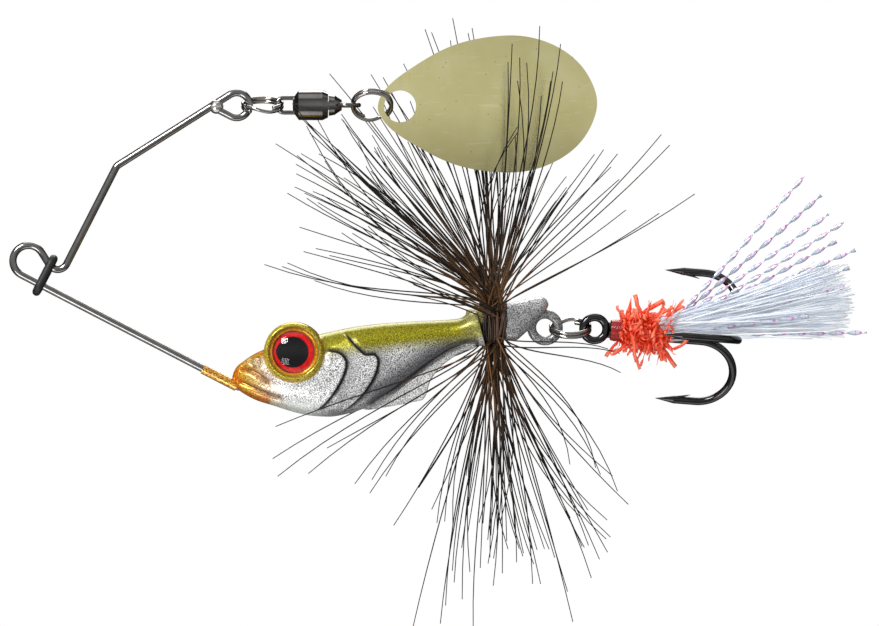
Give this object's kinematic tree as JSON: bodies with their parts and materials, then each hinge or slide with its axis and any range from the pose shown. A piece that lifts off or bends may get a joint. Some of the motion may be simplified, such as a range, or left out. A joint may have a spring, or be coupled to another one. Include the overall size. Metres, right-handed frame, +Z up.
{
  "type": "spinner lure",
  "caption": "Fishing lure on a bent wire arm: a cast minnow body with a flared hair collar and dressed treble hook, and a flashing teardrop blade on a ball-bearing swivel.",
  "frame": {"origin": "centre of the line-tie loop, where the line or its snap takes hold", "axes": "+Z up the line, as the lure hangs from it, +X towards the lure's back, +Y towards its right flank"},
  "size_m": [0.0737, 0.0497, 0.1029],
  "materials": {
    "arm_wire": "polished stainless spring wire",
    "weld": "bright fused bead",
    "keeper_rubber": "matt black rubber",
    "sleeve_paint": "gold and orange lacquer",
    "body_paint": "metallic lacquer, olive back over sparkling silver flanks, orange-gold snout",
    "eye_foil": "printed metallic foil, red ring round a black pupil",
    "eye_resin": "clear domed resin",
    "tail_eye_paint": "silver lacquer over wire",
    "hackle_fibre": "fine dark brown hair",
    "hackle_thread": "waxed dark thread",
    "nickel_ring": "bright nickel",
    "nickel_swivel": "dark polished nickel",
    "bearing_steel": "polished balls",
    "gold_plate": "pale gold plate with fine polishing scratches",
    "black_nickel": "glossy black nickel",
    "red_thread": "lacquered dark red thread",
    "orange_chenille": "crinkled translucent tinsel strips",
    "white_fibre": "straight translucent synthetic fibre",
    "pearl_flash": "iridescent pearl film"
  },
  "bodies": {
    "frame": {"wire_arm": "arm_wire", "arm_eye_weld": "weld", "line_keeper": "keeper_rubber", "nose_sleeve": "sleeve_paint", "body_casting": "body_paint", "eye_foil_left": "eye_foil", "eye_foil_right": "eye_foil", "eye_dome_left": "eye_resin", "eye_dome_right": "eye_resin", "tail_eye": "tail_eye_paint", "hackle_collar": "hackle_fibre", "hackle_thread": "hackle_thread", "hackle_hair": "hackle_fibre"},
    "arm_ring": {"arm_split_ring": "nickel_ring"},
    "swivel_body": {"swivel_front_loop": "nickel_swivel", "swivel_barrel": "nickel_swivel", "swivel_balls": "bearing_steel"},
    "swivel_head": {"swivel_shaft": "nickel_swivel"},
    "blade_ring": {"blade_split_ring": "nickel_ring"},
    "blade": {"spinner_blade": "gold_plate"},
    "tail_ring": {"tail_split_ring": "nickel_ring"},
    "hook": {"hook_double": "black_nickel", "hook_single": "black_nickel", "hook_thread": "red_thread", "hook_chenille": "orange_chenille", "tail_fibres": "white_fibre", "flash_strands": "pearl_flash"}
  },
  "joints": [
    {"name": "arm_ring_pitch", "type": "hinge", "parent": "frame", "child": "arm_ring", "pos_m": [0.0187, 0, -0.025], "axis": [0, 1, 0], "range_deg": [-90, 25], "deforming": ["hackle_hair"]},
    {"name": "swivel_yaw", "type": "hinge", "parent": "arm_ring", "child": "swivel_body", "pos_m": [0.0187, 0, -0.02808], "axis": [0.9511, -0.309, 0], "range_deg": [-60, 60]},
    {"name": "swivel_spin", "type": "hinge", "parent": "swivel_body", "child": "swivel_head", "pos_m": [0.0187, 0, -0.036], "axis": [0, 0, -1], "continuous": true},
    {"name": "blade_ring_yaw", "type": "hinge", "parent": "swivel_head", "child": "blade_ring", "pos_m": [0.0187, 0, -0.03835], "axis": [1, 0, 0], "range_deg": [-70, 70]},
    {"name": "blade_swing", "type": "hinge", "parent": "blade_ring", "child": "blade", "pos_m": [0.0187, 0, -0.04356], "axis": [-0.6947, 0.7193, 0], "range_deg": [-50, 30]},
    {"name": "tail_ring_pitch", "type": "hinge", "parent": "frame", "child": "tail_ring", "pos_m": [-0.00799, 0, -0.06199], "axis": [0, 1, 0], "range_deg": [-40, 90]},
    {"name": "hook_yaw", "type": "hinge", "parent": "tail_ring", "child": "hook", "pos_m": [-0.00806, 0, -0.06503], "axis": [0.9272, -0.3746, 0], "range_deg": [-80, 80]}
  ]
}
